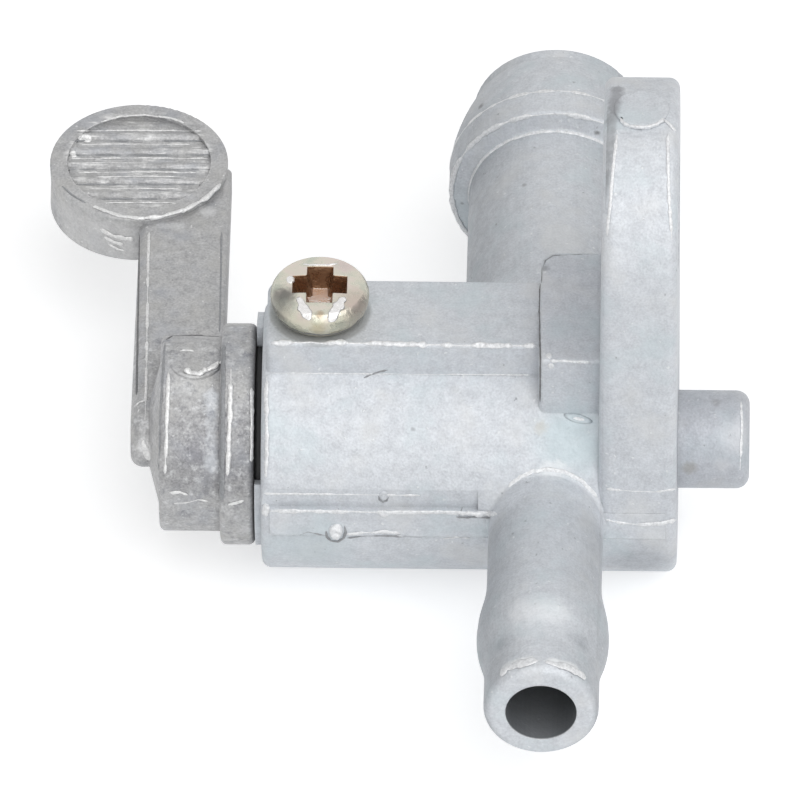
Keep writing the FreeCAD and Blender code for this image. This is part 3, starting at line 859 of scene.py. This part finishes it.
bodyMetal, bodySkin = castMetal("bodyCasting", bodyFinish, bodyStainsAndLight, "tap_body")
bodyShades(*bodySkin)
leverMetal, leverSkin = castMetal("leverCasting", leverFinish, leverStainsAndLight, "lever_spindle")
padScratches(*hubBlotches(*leverSkin))
rubber = sealRubber()
finishes = {
    "tap_body": bodyMetal,
    "lever_spindle": leverMetal,
    "retaining_screw": zincPlate(),
    "dust_ring": rubber,
    "spindle_o_ring": rubber,
    "port_seal": rubber,
}
for name, material in finishes.items():
    slots = nodes[name].data.materials
    slots.clear()
    slots.append(material)
print("finishes on the cast, plated and rubber pieces")


# Small marks of the casting: rough edges, flash, blisters and glints, with painted highlights along
# edges and painted shade in creases
markGrain = {
    "sizeMm": 0.15,
    "darkTone": 0.78,
    "roughSwing": 0.08,
    "depthMm": 0.02,
}


def markMetal(name, colour, roughness, metallic):
    material, tree, place, skin = startMaterial(name)
    grain = noiseOf(tree, place, markGrain["sizeMm"])
    dark = tuple(channel * markGrain["darkTone"] for channel in colour)
    mottled = mixColour(tree, spread(tree, grain, 0, 1), dark, colour)
    swing = markGrain["roughSwing"]
    uneven = spread(tree, grain, roughness + swing, roughness - swing)
    dress(tree, skin, mottled, uneven, bumpOn(tree, grain, markGrain["depthMm"]), metallic)
    return material


# Colour, roughness and metallic share of each kind of mark. The pale ones are partly rubbed edges and
# flash and partly painted highlights and glints; the crevice one is partly scratches and joints and
# partly painted shade; the darkest one is painted shadow.
markMetals = {
    "bareAndHighlight": markMetal("castEdgeAndHighlight", (0.93, 0.94, 0.955), 0.45, 0.2),
    "same": bodyMetal,
    "zinc": markMetal("zincEdgeAndHighlight", (0.92, 0.92, 0.915), 0.4, 0.3),
    "crevice": markMetal("darkLineAndShade", (0.40, 0.41, 0.425), 0.7, 0.1),
    "shadow": markMetal("deepCreviceShadow", (0.24, 0.242, 0.248), 0.7, 0.1),
    "glint": markMetal("zincPlateGlint", (0.97, 0.95, 0.94), 0.25, 0.6),
}

# The body that carries a node's marks, and their usual metal
wearsMark = {
    "tap_body": ("tap", "bareAndHighlight"),
    "retaining_screw": ("tap", "glint"),
    "lever_spindle": ("lever", "zinc"),
}


def insideBox(point):
    return [min(max(point[axis], cadBox[0][axis]), cadBox[1][axis]) for axis in range(3)]


def addMark(name, node, points, faces, metal):
    body, usualMetal = wearsMark[node]
    mesh = bpy.data.meshes.new(name)
    mesh.from_pydata([insideBox(point) for point in points], [], faces)
    mesh.materials.append(markMetals[metal or usualMetal])
    mesh.shade_smooth()
    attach(addObject(name, mesh), body)


def stepsAlong(line, stepPx):
    # Evenly spaced pixels along a line drawn through a few of them.
    path = [Vector(pixel) for pixel in line]
    found = []
    for start, end in zip(path, path[1:]):
        count = max(1, round((end - start).length / stepPx))
        found += [start.lerp(end, number / count) for number in range(count)]
    return found + [path[-1]]


ringForm = {
    "steps": 260,
    "outsideMm": 9,  # clear of both tubes
}


def ringSpots(apex):
    # The circle round the tubes' axis through the surface behind a pixel.
    level = placeAt("tap_body", *apex)[0].y
    middle = Vector((boreDarkening["axisX"], level, 0))
    spots = []
    for number in range(ringForm["steps"] + 1):
        turn = 2 * math.pi * number / ringForm["steps"]
        outward = Vector((math.sin(turn), 0, math.cos(turn)))
        start = middle + outward * ringForm["outsideMm"] * mm
        place, facing, _, _ = surfaces["tap_body"].ray_cast(start, -outward)
        spots.append((place, facing if facing.dot(outward) > 0 else -facing))
    return spots


# A bead's noise sizes are in mm, its shares are of its own width or height
beadForm = {
    "sides": 8,
    "taperSteps": 2,
    "endWidth": 0.35,
    "sunk": 0.6,
    "wobbleMm": 0.35,
    "wobbleShare": 0.7,
    "heightMm": 0.22,
    "driftMm": 0.6,
    "driftFrom": Vector((5, 5, 5)),
    "driftShare": 0.16,
    "breakMm": 1.1,
    "breakFrom": Vector((7, 3, 1)),
    "breakLevel": 0.5,
    "breakSlope": 5,
}


def makeBead(name, node, line, stepPx=1.6, **shape):
    # A thin uneven bead on the surface behind a line of pixels.
    spots = [placeAt(node, *pixel) for pixel in stepsAlong(line, stepPx)]
    beadAlong(name, node, [spot for spot in spots if spot], **shape)


def beadAlong(name, node, spots, wideMm, highMm, rough=0.8, broken=0.0, metal=None):
    # It sinks away where it is broken and at both ends.
    form = beadForm
    sides, wide, high = form["sides"], wideMm * mm, highMm * mm
    points = []
    for number, (place, facing) in enumerate(spots):
        before = spots[max(number - 1, 0)][0]
        after = spots[min(number + 1, len(spots) - 1)][0]
        side = (after - before).cross(facing).normalized()
        taper = min(1.0, min(number, len(spots) - 1 - number) / form["taperSteps"])
        wave = noise.noise(place / (form["breakMm"] * mm) + form["breakFrom"])
        left = (wave + form["breakLevel"] - broken) * form["breakSlope"]
        kept = max(0.0, min(1.0, left)) if broken else 1.0
        size = taper * kept
        wobble = form["wobbleShare"] * rough * noise.noise(place / (form["wobbleMm"] * mm))
        width = wide * (1 + wobble) * (form["endWidth"] + (1 - form["endWidth"]) * size)
        height = high * (1 + rough * noise.noise(place / (form["heightMm"] * mm)))
        lift = height * (size - form["sunk"])
        drift = noise.noise(place / (form["driftMm"] * mm) + form["driftFrom"])
        drift = side * (rough * wide * form["driftShare"] * drift)
        for corner in range(sides):
            angle = 2 * math.pi * corner / sides
            across = side * math.cos(angle) * width / 2
            points.append(place + drift + across + facing * (lift + math.sin(angle) * height))
    faces = [tuple(range(sides - 1, -1, -1))]
    for ring in range(len(spots) - 1):
        for corner in range(sides):
            first = ring * sides + corner
            second = ring * sides + (corner + 1) % sides
            faces.append((first, second, second + sides, first + sides))
    last = (len(spots) - 1) * sides
    faces.append(tuple(range(last, last + sides)))
    addMark(name, node, points, faces, metal)


moundForm = {
    "rings": 7,
    "spokes": 22,
    "outlineSwing": 0.35,
    "flatness": 4,
    "dipReach": 0.45,
    "bumpMm": 0.2,
    "skirtMm": 0.03,  # how far its underside goes into the surface
}


def makeMound(name, node, at, halfPx, highMm, turnDeg=0.0, hollow=0.0, rough=0.3, metal=None):
    # A low blister on the surface round a pixel; a hollow one is a rim with a dip inside.
    rings, spokes = moundForm["rings"], moundForm["spokes"]
    turn = math.radians(turnDeg)
    tops = []
    for ring in range(rings + 1):
        share = ring / rings
        for spoke in range(spokes if ring else 1):
            angle = 2 * math.pi * spoke / spokes
            outline = noise.noise(Vector((math.cos(angle), math.sin(angle), at[0])))
            reach = share * (1 + rough * moundForm["outlineSwing"] * outline)
            x = halfPx[0] * reach * math.cos(angle)
            y = halfPx[1] * reach * math.sin(angle)
            px = at[0] + x * math.cos(turn) - y * math.sin(turn)
            row = at[1] + x * math.sin(turn) + y * math.cos(turn)
            place, facing = placeAt(node, px, row)
            dome = math.sqrt(max(0.0, 1 - share ** moundForm["flatness"]))
            dip = hollow * math.exp(-(share / moundForm["dipReach"]) ** 2)
            bumps = 1 + rough * noise.noise(place / (moundForm["bumpMm"] * mm))
            height = highMm * mm * (dome - dip) * bumps if ring < rings else 0
            tops.append((place + facing * height, place - facing * moundForm["skirtMm"] * mm))
    points = [top for top, _ in tops] + [bottom for _, bottom in tops]
    total = len(tops)

    def index(ring, spoke):
        return 0 if ring == 0 else 1 + (ring - 1) * spokes + spoke % spokes

    faces = []
    for spoke in range(spokes):
        faces.append((0, index(1, spoke + 1), index(1, spoke)))
        faces.append((total, total + index(1, spoke), total + index(1, spoke + 1)))
        for ring in range(1, rings):
            near, far = index(ring, spoke), index(ring, spoke + 1)
            quad = (near, far, index(ring + 1, spoke + 1), index(ring + 1, spoke))
            faces.append(quad)
            faces.append(tuple(total + corner for corner in reversed(quad)))
        outer, following = index(rings, spoke), index(rings, spoke + 1)
        faces.append((outer, following, total + following, total + outer))
    addMark(name, node, points, faces, metal)


# Pale beads are partly flash and rubbed edges and partly painted highlights along edges and rims; the
# dark ones are partly scratches and joints and partly painted shade under flash, blisters and rings.
bodyBeads = {
    "ribEdge": dict(wideMm=0.34, highMm=0.08, broken=0.4, line=(
        (271, 343), (300, 342.5), (400, 344), (470, 345.5), (537, 345.5),
    )),
    "ribFoot": dict(wideMm=0.14, highMm=0.02, broken=0.45, line=(
        (270, 373), (360, 374), (450, 374.5), (530, 375),
    )),
    "ribScratch": dict(wideMm=0.12, highMm=0.02, metal="crevice", line=(
        (364, 378), (370, 375), (380, 371.5), (388, 370),
    )),
    "flatTop": dict(wideMm=0.18, highMm=0.025, rough=0.6, broken=0.2, line=(
        (264, 493.5), (300, 494), (345, 494.5), (420, 495.5),
    )),
    "partingEdge": dict(wideMm=0.3, highMm=0.05, rough=0.6, broken=0.12, line=(
        (262, 511), (300, 511), (390, 512.5), (440, 512), (497, 514),
    )),
    "sliver": dict(wideMm=0.3, highMm=0.11, rough=0.9, line=((459, 514), (470, 512.5), (487, 515))),
    "sliverShade": dict(wideMm=0.1, highMm=0.05, rough=0.9, metal="crevice", line=(
        (456, 517), (463, 517.5), (480, 516.8), (490, 518),
    )),
    "sliverTick": dict(wideMm=0.08, highMm=0.03, rough=0.7, metal="crevice", line=(
        (459, 516), (461, 511), (462.5, 507),
    )),
    "flashLeft": dict(wideMm=0.12, highMm=0.03, rough=1.0, broken=0.3, metal="crevice", line=(
        (300, 535), (308, 532), (318, 534), (328, 536),
    )),
    "flashMiddle": dict(wideMm=0.24, highMm=0.05, rough=1.0, broken=0.5, line=(
        (346, 534), (362, 533), (385, 531.5), (400, 533),
    )),
    "flashShade": dict(wideMm=0.1, highMm=0.03, rough=1.0, broken=0.5, metal="crevice", line=(
        (347, 538), (362, 536.5), (385, 535.5), (404, 537),
    )),
    "flashRight": dict(wideMm=0.12, highMm=0.04, rough=1.0, broken=0.3, metal="same", line=(
        (396, 535), (410, 536.5), (422, 538),
    )),
    "flashFar": dict(wideMm=0.14, highMm=0.04, rough=1.0, broken=0.35, line=(
        (443, 539), (455, 537), (470, 538),
    )),
    "barrelRim": dict(wideMm=0.24, highMm=0.05, rough=0.9, broken=0.2, line=(
        (266.5, 376), (266.5, 410), (267, 440), (266, 478),
    )),
    "blockEdge": dict(wideMm=0.2, highMm=0.04, rough=0.9, broken=0.2, line=(
        (550, 361), (565, 361), (590, 362.5),
    )),
    "blockJoint": dict(wideMm=0.13, highMm=0.02, rough=0.6, metal="shadow", line=(
        (540.5, 284), (539.8, 310), (539.8, 335), (540.5, 360), (540, 402),
    )),
    "blockTopLine": dict(wideMm=0.09, highMm=0.015, rough=0.7, broken=0.42, metal="crevice", line=(
        (541.5, 283), (542, 270), (545.5, 260.5), (553, 255.5), (575, 254.5), (598, 254),
    )),
    "plateEdgeNear": dict(wideMm=0.2, highMm=0.03, rough=0.7, broken=0.15, line=(
        (617, 134), (614, 160), (610.5, 200), (607, 236),
    )),
    "plateEdgeFar": dict(wideMm=0.2, highMm=0.03, rough=0.7, broken=0.15, line=(
        (668, 134), (668, 160), (669, 200), (672, 240),
    )),
    "discRim": dict(wideMm=0.28, highMm=0.07, rough=0.9, broken=0.1, line=(
        (621.5, 117), (623, 122), (629, 126), (645, 127), (657, 124), (664, 118),
    )),
    "discRimRight": dict(wideMm=0.18, highMm=0.05, rough=0.9, line=(
        (663, 119), (669, 124), (676, 131),
    )),
    "plateBand": dict(wideMm=0.2, highMm=0.02, broken=0.45, line=(
        (606, 489), (630, 491), (655, 492), (676, 489),
    )),
    "platePart": dict(wideMm=0.3, highMm=0.05, broken=0.15, line=(
        (606, 520), (620, 523), (640, 524.5), (660, 523.5), (676, 520),
    )),
    # Painted highlight along the fillet at the outlet's root.
    "outletRootHighlight": dict(wideMm=0.28, highMm=0.018, rough=0.3, line=(
        (508, 487), (520, 477), (532, 471.5), (548, 469.5), (565, 472), (582, 481), (597, 497),
    )),
    "outletRimLeft": dict(wideMm=0.6, highMm=0.05, rough=0.9, line=(
        (500, 675), (507, 668.5), (517, 664), (530, 661.5), (538, 661),
    )),
    "outletRimRight": dict(wideMm=0.5, highMm=0.05, rough=0.9, broken=0.1, line=(
        (545, 661.5), (556, 664), (566, 667), (577, 672), (586, 678),
    )),
    "blisterShade": dict(wideMm=0.15, highMm=0.04, rough=0.6, metal="crevice", line=(
        (344.5, 526), (345.8, 532), (343.5, 538), (338, 541.5), (331, 540.5), (327, 537), (326, 531),
    )),
    "ringShade": dict(wideMm=0.12, highMm=0.03, rough=0.6, metal="crevice", line=(
        (388.5, 497), (387, 500.5), (383, 502), (379.5, 499.5), (378.5, 496),
    )),
    "pinRim": dict(wideMm=0.16, highMm=0.03, broken=0.25, line=(
        (741, 402), (742, 425), (741, 450), (740, 470),
    )),
}
for name, shape in bodyBeads.items():
    makeBead(name, "tap_body", **shape)

# Full circles round the tubes, each through the surface behind one pixel: painted highlights along the
# edges of the inlet's shoulder and taper
tubeRings = {
    "shoulderOuter": ((555, 114), dict(wideMm=0.31, highMm=0.045, rough=0.6, broken=0.2)),
    "shoulderInner": ((555, 131.5), dict(wideMm=0.25, highMm=0.05, rough=0.5)),
    "taperStart": ((545, 91), dict(wideMm=0.3, highMm=0.02, rough=0.5, broken=0.35)),
}
for name, (apex, shape) in tubeRings.items():
    beadAlong(name, "tap_body", ringSpots(apex), **shape)

bodyMounds = {
    "blister": dict(at=(336, 531), halfPx=(7.2, 7.2), highMm=0.3, hollow=0.55, rough=0.4),
    "ringMark": dict(at=(383.5, 496), halfPx=(4.6, 4.6), highMm=0.08, hollow=0.9, metal="same"),
    "ringNub": dict(at=(384, 513.5), halfPx=(5, 3.4), highMm=0.09),
    "blockGlintHigh": dict(at=(549, 356), halfPx=(3.4, 2.6), highMm=0.07),
    "blockGlintLow": dict(at=(551, 366), halfPx=(3.2, 2.8), highMm=0.07),
    "ejectorCrescent": dict(
        at=(578, 418.5), halfPx=(15, 4.6), highMm=0.07, turnDeg=14, hollow=0.6, metal="same"
    ),
    "crescentFill": dict(at=(579, 419), halfPx=(7, 2), highMm=0.07, turnDeg=10),
    "lugNub": dict(at=(266, 510), halfPx=(3.6, 6.5), highMm=0.08, rough=0.9),
}
for name, shape in bodyMounds.items():
    makeMound(name, "tap_body", **shape)
print("casting marks on the body")

# Pale lines are partly parting lines and rubbed edges and partly painted highlights along edges, the
# pad's rim and its lip; the dark ones are painted shade in creases and along the hub's outline.
leverBeads = {
    "armLine": dict(wideMm=0.18, highMm=0.04, rough=0.5, broken=0.25, line=(
        (149, 232), (148, 270), (147, 330), (146, 390), (145, 420),
    )),
    "armShade": dict(wideMm=0.14, highMm=0.02, rough=0.4, metal="shadow", line=(
        (139.5, 235), (138.5, 290), (137.5, 340), (136.5, 395),
    )),
    "armInner": dict(wideMm=0.1, highMm=0.015, rough=0.4, metal="crevice", line=(
        (221.5, 232), (221, 270), (220, 320), (219.5, 332),
    )),
    "hubTopLine": dict(wideMm=0.14, highMm=0.02, rough=0.5, metal="shadow", line=(
        (166, 340), (172, 336), (195, 335.5), (221, 337),
    )),
    "hubSideLine": dict(wideMm=0.13, highMm=0.02, rough=0.5, broken=0.15, metal="crevice", line=(
        (165, 344), (163.5, 365), (161.5, 395), (160, 420), (159.5, 450), (158.5, 470),
    )),
    "hubPadRim": dict(wideMm=0.36, highMm=0.11, rough=1.0, line=(
        (184, 369), (190, 373), (199, 374.5), (204, 371), (212, 368), (221, 362),
    )),
    "hubPadGlint": dict(wideMm=0.13, highMm=0.03, line=((180, 351), (186, 350), (194, 351))),
    "hubEdge": dict(wideMm=0.23, highMm=0.06, rough=0.6, broken=0.1, line=(
        (168.5, 372), (168, 390), (167, 420), (166, 450), (165, 474),
    )),
    "collarEdge": dict(wideMm=0.3, highMm=0.07, rough=0.6, broken=0.05, line=(
        (231, 368), (230.5, 395), (229.5, 425), (228.5, 455), (227.5, 476),
    )),
    "collarInner": dict(wideMm=0.27, highMm=0.05, rough=0.6, line=(
        (251.8, 388), (251.8, 420), (251.4, 462),
    )),
    "hubStep": dict(wideMm=0.26, highMm=0.03, rough=0.4, metal="crevice", line=(
        (223.5, 345), (223, 400), (222.5, 460), (222, 500),
    )),
    "armNotch": dict(wideMm=0.14, highMm=0.06, line=((136, 406), (140, 402), (148, 400.5))),
    "hubLineHigh": dict(wideMm=0.17, highMm=0.035, line=((169, 493), (180, 492), (188, 495))),
    "hubLineLow": dict(wideMm=0.17, highMm=0.035, broken=0.1, line=(
        (174, 503.5), (186, 503), (198, 500), (208, 501),
    )),
    "collarLine": dict(wideMm=0.2, highMm=0.035, line=((228, 505), (236, 503), (244, 500.5))),
    "padStepHigh": dict(wideMm=0.32, highMm=0.05, rough=1.0, line=(
        (100, 229), (112, 235), (125, 239), (134, 239),
    )),
    "padStepMiddle": dict(wideMm=0.24, highMm=0.04, rough=1.0, line=(
        (104, 237), (114, 242), (124, 245),
    )),
    "padStepLow": dict(wideMm=0.15, highMm=0.035, line=((108, 244), (118, 249), (126, 251))),
    "padLip": dict(wideMm=0.26, highMm=0.06, broken=0.12, line=(
        (92, 206), (105, 211), (120, 216), (138, 218.5), (160, 217), (185, 210), (205, 199), (221, 184),
    )),
    "padLipShade": dict(wideMm=0.12, highMm=0.03, rough=0.4, metal="crevice", line=(
        (62, 186), (72, 195), (86, 203),
    )),
    "padInnerGlint": dict(wideMm=0.14, highMm=0.04, broken=0.1, line=(
        (101, 122), (120, 116.5), (145, 115), (170, 118), (184, 123),
    )),
}
for name, shape in leverBeads.items():
    makeBead(name, "lever_spindle", **shape)

# Painted highlights across the pad's floor, between its ridges; each line is a row and its two ends
padRidgeHighlights = {
    "lines": (
        (131, 74, 202), (144.5, 82, 190), (158.5, 70, 208), (172.5, 78, 196),
        (189, 90, 182), (203, 104, 176), (163, 70, 140), (177, 96, 186),
    ),
    "risePx": 0.6,
    "bead": dict(stepPx=3, wideMm=0.13, highMm=0.035, rough=1.0, broken=0.35),
}
for number, (row, left, right) in enumerate(padRidgeHighlights["lines"], 1):
    line = ((left, row), ((left + right) / 2, row - padRidgeHighlights["risePx"]), (right, row))
    makeBead("padRidgeHighlight%d" % number, "lever_spindle", line, **padRidgeHighlights["bead"])

# Painted shade: dark lines under the ridges
padGrooves = {
    "lines": ((141, 72, 206), (155, 67, 211), (169.5, 67, 211), (184.5, 76, 202), (199, 98, 180)),
    "bead": dict(stepPx=3, wideMm=0.11, highMm=0.03, rough=0.9, broken=0.3, metal="crevice"),
}
for number, (row, left, right) in enumerate(padGrooves["lines"], 1):
    makeBead("padGroove%d" % number, "lever_spindle", ((left, row), (right, row)), **padGrooves["bead"])

leverMounds = {
    "facet": dict(at=(145.5, 450), halfPx=(3.2, 11.5), highMm=0.05, turnDeg=-16, rough=0.6),
    "padGlint": dict(at=(85, 138), halfPx=(7, 4), highMm=0.05, rough=1.0),
    "padGlintLow": dict(at=(73, 154), halfPx=(3.4, 3.6), highMm=0.04, rough=1.0),
}
for name, shape in leverMounds.items():
    makeMound(name, "lever_spindle", **shape)

# Painted highlights and glints on the head, and a painted shadow along its lower edge.
screwBeads = {
    "glintLeft": dict(wideMm=0.56, highMm=0.035, line=((298, 297), (303, 308), (310, 320))),
    "glintRight": dict(wideMm=0.56, highMm=0.035, line=((345, 297), (337, 309), (329, 322))),
    "recessLipHighlight": dict(wideMm=0.14, highMm=0.03, line=(
        (303, 264), (309, 265), (330, 265), (338, 263.5),
    )),
    "rimShade": dict(wideMm=0.12, highMm=0.015, rough=0.5, metal="shadow", line=(
        (279, 319), (290, 328), (303, 333), (321, 335), (338, 333.3), (351, 327.5), (361, 318),
    )),
}
for name, shape in screwBeads.items():
    makeBead(name, "retaining_screw", **shape)

screwRing = dict(at=(290.5, 280), halfPx=(4.6, 3.8), highMm=0.1, hollow=0.6)
makeMound("screwRing", "retaining_screw", **screwRing)
print("marks on the lever and the screw")
